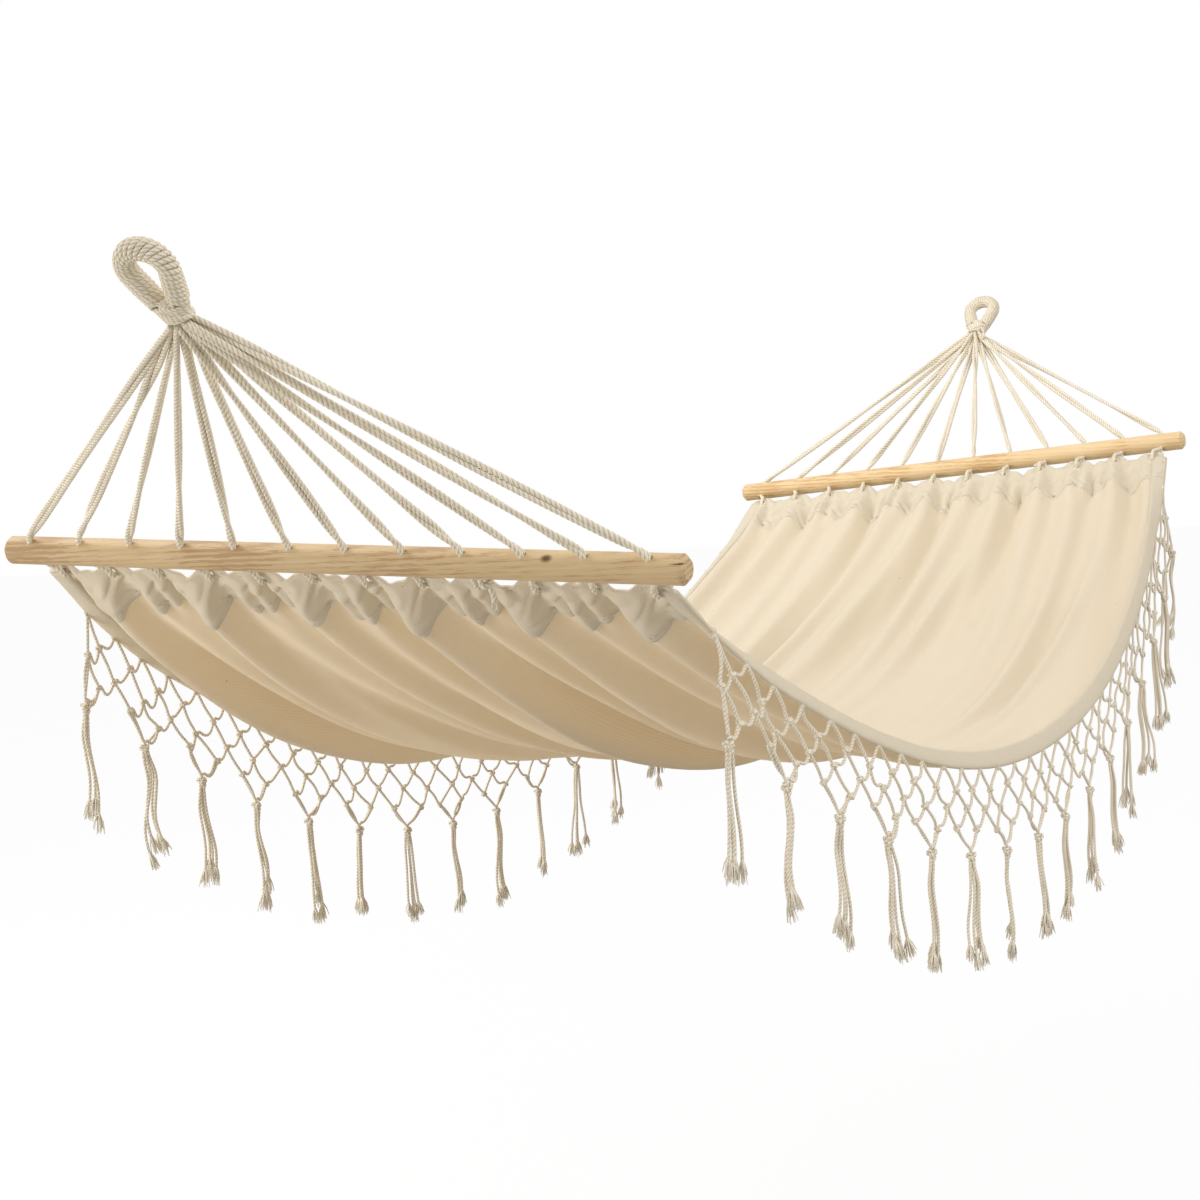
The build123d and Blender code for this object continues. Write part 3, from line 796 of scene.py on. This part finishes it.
def makeEye(end, word):
    base = layout["bindingBase"]
    place = np.array([clewPoint(*p) for p in eyeLine()])
    along = arcLengths(place)
    turns = along[-1] / (eye["pitch"] * eye["starts"])
    t = np.linspace(0, 1, int(turns * eye["perTurn"]))
    centre = pointsAt(t * along[-1], along, place)
    inner = pointsAt(t * along[-1], along, np.cross(unit(np.gradient(place, axis=0)), clewNormal))
    radius = layout["eyeRope"] / 2 - cordLay["eyeRadius"] + eye["uneven"] * np.sin(17 * t)
    whipping, core, binding = newBundle(), newBundle(), newBundle()
    for start in range(eye["starts"]):
        angle = 2 * math.pi * (turns * t + start / eye["starts"])
        ring = inner * np.cos(angle)[:, None] + clewNormal * np.sin(angle)[:, None]
        helix = centre + ring * radius[:, None]
        addTube(whipping, evenly(atEnd(helix, end), eye["step"]), cordLay["eyeRadius"])
    addTube(core, atEnd(place, end), eye["coreRadius"], 14, eye["coreLay"], plies=5, depth=0.1)
    t = np.linspace(0, 1, eye["bindTurns"] * eye["bindPerTurn"])
    angle = 2 * math.pi * eye["bindTurns"] * t
    wide = eye["bindWide"] + eye["bindFlare"] * t ** 1.3 - eye["bindCord"] * 0.2
    first, last = eye["bindEnds"]
    level = base + first + (layout["binding"] - first - last) * t
    collar = np.array([clewPoint(w * math.cos(a), s, eye["bindDeep"] * math.sin(a))
                       for w, a, s in zip(wide, angle, level)])
    addTube(binding, atEnd(collar, end), eye["bindCord"])
    wide, deep, height, tilt = eye["slant"]  # one turn across the others
    slant = np.array([clewPoint(wide * math.cos(a), base + height + tilt * math.cos(a + 0.4),
                                deep * math.sin(a)) for a in circle(30)])
    addTube(binding, atEnd(slant, end), eye["bindCord"], closed=True)
    first, last = eye["fillerEnds"]
    filler = np.linspace(clewPoint(0, base + first, 0), clewPoint(0, eyeSeat + last, 0), eye["fillerRings"])
    radii = np.linspace(*eye["filler"], len(filler))
    addTube(binding, atEnd(filler, end), radii, 12, eye["fillerLay"], plies=6, depth=0.1)
    route = np.array([clewPoint(y, base + s, n) for y, s, n in eye["tail"]])
    tail = smoothRoute(atEnd(route, end), eye["tailStep"])  # the binding cord's cut end, tucked under it
    addTube(binding, tail, eye["tailCord"], 7)
    addFray(binding, tail, *eye["fray"])
    for bundle, part, slot in ((whipping, "Whipping", "whipping_cord"), (core, "Core", "clew_cord"),
                               (binding, "Binding", "whipping_cord")):
        node = f"{word}_eye_{part.lower()}"
        makePiece(bundle, f"{word}Eye{part}", whippingCotton, "hanging_eyes", [node])


makeEye(0, "head")
makeEye(1, "foot")
print("hanging eyes ready")

# fringe: pairs of cords knotted to a net, gathered four by four to the tassels
fringe = {"sides": 8, "step": 0.0011, "drops": (0.0255, 0.047, 0.070, 0.090), "pairs": 16, "strand": 0.041,
          "knot": 0.0030, "knotCord": 1.12, "ends": 0.008, "underHem": 0.0063, "tipDrop": 0.004,
          "endPair": 0.003, "slack": (0.22, 0.42), "uneven": (0.0017, 0.0016, 0.0013),
          "loop": (0.0028, 0.0045), "hang": ((0, 0), (0.22, 0.9), (0.58, 1.1), (0.88, -0.35), (1, 0))}


def addFringeCord(bundle, route):
    path = smoothRoute(route, fringe["step"])
    addTube(bundle, path, cordLay["fringeRadius"], fringe["sides"], cordLay["fringeLay"], 2,
            cordLay["fringeDepth"])
    return path


def netPlaces(side):
    share = layout["endHem"] / (layout["span"] - 2 * bedEnd[0])
    line = sideLines(np.linspace(share, 1 - share, 401))[0]
    lengths = arcLengths(line)
    wanted = np.linspace(fringe["ends"], lengths[-1] - fringe["ends"], 2 * fringe["pairs"] - 1)
    down = unit(sideLines(0.5)[0] - (sideLines(0.0)[0] + sideLines(1.0)[0]) / 2)
    heads = pointsAt(wanted, lengths, line) + down * fringe["underHem"]
    return (heads, down) if side > 0 else (turnPoints(heads), down * (-1, -1, 1))


def makeNet(side, name, node, edge):
    heads, down = netPlaces(side)
    dice = np.random.default_rng(40 + side)
    knotStray, pairStray, cordStray = fringe["uneven"]
    between = (heads[:-1] + heads[1:]) / 2
    tops = np.array([edge[np.argmin(np.linalg.norm(edge - head, axis=1))] for head in heads])
    drawn = tops - heads
    moves = (drawn[:-1] + drawn[1:]) / 2
    rows = []
    for places, move, drop in zip((between, heads, between), (moves, drawn, moves), fringe["drops"]):
        row = places + down * drop + move * (1 - drop / fringe["drops"][3])
        rows.append(row + dice.normal(0, knotStray, row.shape))
    rowOne, rowTwo, rowThree = rows
    tips = heads[::2] + down * fringe["drops"][3]
    lines = []
    for k in range(len(between)):
        lines += [(tops[k], rowOne[k]), (tops[k + 1], rowOne[k])]
        lines += [(rowOne[k], rowTwo[k]), (rowOne[k], rowTwo[k + 1])]
        lines += [(rowTwo[k], rowThree[k]), (rowTwo[k + 1], rowThree[k])]
        tip = tips[(k + 1) // 2] + [0, 0, -fringe["tipDrop"]]
        lines += [(rowThree[k], tip), (rowThree[k] + dice.normal(0, pairStray, 3), tip)]
    for end in (0, -1):
        lines += [(tops[end], rowTwo[end]), (rowTwo[end], tips[end])]
        lines.append((rowTwo[end] + [fringe["endPair"], 0, 0], tips[end]))
    bundle = newBundle()
    for start, stop in lines:
        slack = math.sqrt(max(0.0, fringe["strand"] ** 2 - np.linalg.norm(stop - start) ** 2))
        loose = slack * dice.uniform(*fringe["slack"])
        high, low = (start, stop) if start[2] > stop[2] else (stop, start)
        bulge = np.array([0, 0, -loose]) + dice.normal(0, cordStray, 3)
        route = [high * (1 - share) + low * share + bulge * out for share, out in fringe["hang"]]
        addFringeCord(bundle, route)
    for place in np.concatenate(rows):
        knot = turned(overhand(fringe["knot"], 18), "Y", dice.uniform(0, 6))
        knot = turned(knot, "Z", dice.uniform(0, 6)) + place
        addTube(bundle, knot, cordLay["fringeRadius"] * fringe["knotCord"], 5, closed=True)
    wide, tall = fringe["loop"]
    ring = np.array([(wide * math.cos(a), 0, tall * math.sin(a)) for a in circle(12)])
    for top in tops:  # where the pair is looped through the hem
        addTube(bundle, ring + top, cordLay["fringeRadius"], 5, closed=True)
    return makePiece(bundle, name, fringeCotton, "hammock", [node])


leftNet = makeNet(1, "leftFringeNet", "left_fringe_net", leftHemEdge)
rightNet = makeNet(-1, "rightFringeNet", "right_fringe_net", rightHemEdge)
print("nets:", len(leftNet.data.polygons), "faces each")

# tassels: a knot and four cords, uneven and frayed
tassel = {"length": 0.114, "spare": 0.014, "side": 0.0038, "deep": 0.0013, "knot": 0.0052,
          "knotDrop": 0.0055, "stray": 0.0016, "facing": 0.9,
          "swing": (0.006, 0.004), "lean": 0.012, "uneven": (-1.4, 0.8), "splay": (0.9, 1.9),
          "fray": (22, 0.019, 0.0072)}


def makeTassel(side, number):
    node = f"{side}_tassel_{number:02d}"
    low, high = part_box(node)
    top = np.array([(low[0] + high[0]) / 2, (low[1] + high[1]) / 2, high[2] - tassel["knotDrop"]])
    dice = np.random.default_rng(1000 + number + (500 if side == "left" else 0))
    bundle = newBundle()
    for size, axis, angle, drop in ((1.0, "Z", dice.uniform(0, 6), 0.0), (0.85, "X", 1.3, -0.004)):
        knot = turned(overhand(tassel["knot"] * size, 24), axis, angle) + top + [0, 0, drop]
        addTube(bundle, knot, cordLay["fringeRadius"], 6, closed=True)
    facing = dice.uniform(-tassel["facing"], tassel["facing"])
    wide = np.array([math.cos(facing), math.sin(facing), 0])  # the cords hang like a ribbon
    deep = np.array([-math.sin(facing), math.cos(facing), 0])
    aslant, forth = tassel["swing"]
    swing = wide * dice.uniform(-aslant, aslant) + deep * dice.uniform(-forth, forth)
    lean = wide * dice.uniform(-tassel["lean"], tassel["lean"])
    for k in range(4):
        aside = wide * (k - 1.5) * tassel["side"]
        root = top + deep * (-1) ** k * tassel["deep"]
        length = tassel["length"] + dice.uniform(*tassel["uneven"]) * tassel["spare"]
        splay = dice.uniform(*tassel["splay"])
        own = wide * dice.normal(0, tassel["stray"]) + deep * dice.normal(0, tassel["stray"])
        rows = ((0.01, 0.3, 0.0, 0), (0.10, 0.62, 0.0, 0.2), (0.30, 0.78, 1.0, 1.0),
                (0.52, 0.85, 0.3, 1.0), (0.74, 0.9 * splay, -0.6, 1.4),
                (0.90, 1.1 * splay, -0.3, 1.6), (1.0, 1.15 * splay, 0.2, 1.6))
        route = [root + aside * wider + swing * sway + own * loose + (lean + [0, 0, -length]) * share
                 for share, wider, sway, loose in rows]
        addFray(bundle, addFringeCord(bundle, route), *tassel["fray"])
    return makePiece(bundle, f"{side}Tassel{number:02d}", fringeCotton, node, [node])


tassels = [makeTassel(side, number + 1) for side in ("left", "right") for number in range(fringe["pairs"])]
print("tassels:", len(tassels), "with", len(tassels[0].data.polygons), "faces each")

# studio: pale floor, white surround, soft light from above and a low light along the bed
studio = {"floor": (1.2, 0, -1.25), "floorSize": 30, "floorColour": "#b6b3ad",
          "paper": (0.95, 0.95, 0.95, 1), "paperGlow": 0.94, "world": 0.62}
lamps = {"keyLight": {"place": (0.6, 2.4, 2.0), "aim": (1.2, 0, -0.6), "size": 1.6, "power": 67},
         "fillLight": {"place": (0.2, -3.1, 1.6), "aim": (1.4, 0, -0.5), "size": 2.6, "power": 57},
         "rakeLight": {"place": (-1.6, 1.9, -1.0), "aim": (0.8, 0, -0.6), "size": 0.8, "power": 38}}


def seenRays(tree):  # rays that show the white background: straight, mirrored or let through
    paths = addNode(tree, "ShaderNodeLightPath").outputs
    mirrored = addMath(tree, "MAXIMUM", paths["Is Camera Ray"], paths["Is Glossy Ray"])
    return addMath(tree, "MAXIMUM", mirrored, paths["Is Transmission Ray"])


bpy.ops.mesh.primitive_plane_add(size=studio["floorSize"], location=studio["floor"])
floor = bpy.context.object
floor.name = "floor"
paper, tree, shader = newMaterial("palePaper", {"Roughness": 0.9, "Specular IOR Level": 0.0})
light = addNode(tree, "ShaderNodeEmission", {"Color": (1, 1, 1, 1), "Strength": 1.0})
rays = seenRays(tree)
sheetColour = addMix(tree, rays, toLinear(studio["floorColour"]), studio["paper"])
tree.links.new(sheetColour, shader.inputs["Base Color"])  # the camera sees white, the bed a darker floor
mixSurface(tree, addMath(tree, "MULTIPLY", rays, studio["paperGlow"]), shader, light)
floor.data.materials.append(paper)
world = bpy.data.worlds.new("surround")
scene.world = world
world.use_nodes = True
tree = world.node_tree
tree.nodes.clear()
strength = addRange(tree, seenRays(tree), {"To Min": studio["world"], "To Max": 1.0})
sky = addNode(tree, "ShaderNodeBackground", {"Color": (1, 1, 1, 1), "Strength": strength})
addNode(tree, "ShaderNodeOutputWorld", {"Surface": sky.outputs[0]})
for name, settings in lamps.items():
    lamp = bpy.data.lights.new(name, "AREA")
    lamp.size = settings["size"]
    lamp.energy = settings["power"]
    holder = bpy.data.objects.new(name, lamp)
    scene.collection.objects.link(holder)
    holder.location = settings["place"]
    way = Vector(settings["aim"]) - Vector(settings["place"])
    holder.rotation_euler = way.to_track_quat("-Z", "Y").to_euler()

# camera: fitted to the bar holes, throats and side hems of the photograph
view = {"place": (-1.5974, -1.2517, -0.1779), "pixels": 2252.0, "yaw": 27.28, "pitch": -4.30, "roll": -4.01}
photoWidth, sensorWidth = 1200, 36
yaw, pitch, roll = (math.radians(view[k]) for k in ("yaw", "pitch", "roll"))
ahead = Vector((math.cos(pitch) * math.cos(yaw), math.cos(pitch) * math.sin(yaw), math.sin(pitch)))
level = Vector((math.sin(yaw), -math.cos(yaw), 0))
raised = level.cross(ahead)
across = level * math.cos(roll) + raised * math.sin(roll)
upward = raised * math.cos(roll) - level * math.sin(roll)
lens = bpy.data.cameras.new("camera")
lens.sensor_width = sensorWidth
lens.lens = view["pixels"] / photoWidth * sensorWidth
camera = bpy.data.objects.new("camera", lens)
scene.collection.objects.link(camera)
turn = Matrix((across, upward, -ahead)).transposed()
camera.matrix_world = Matrix.Translation(view["place"]) @ turn.to_4x4()
scene.camera = camera
scene.view_settings.view_transform = "Standard"
print("studio and camera ready")
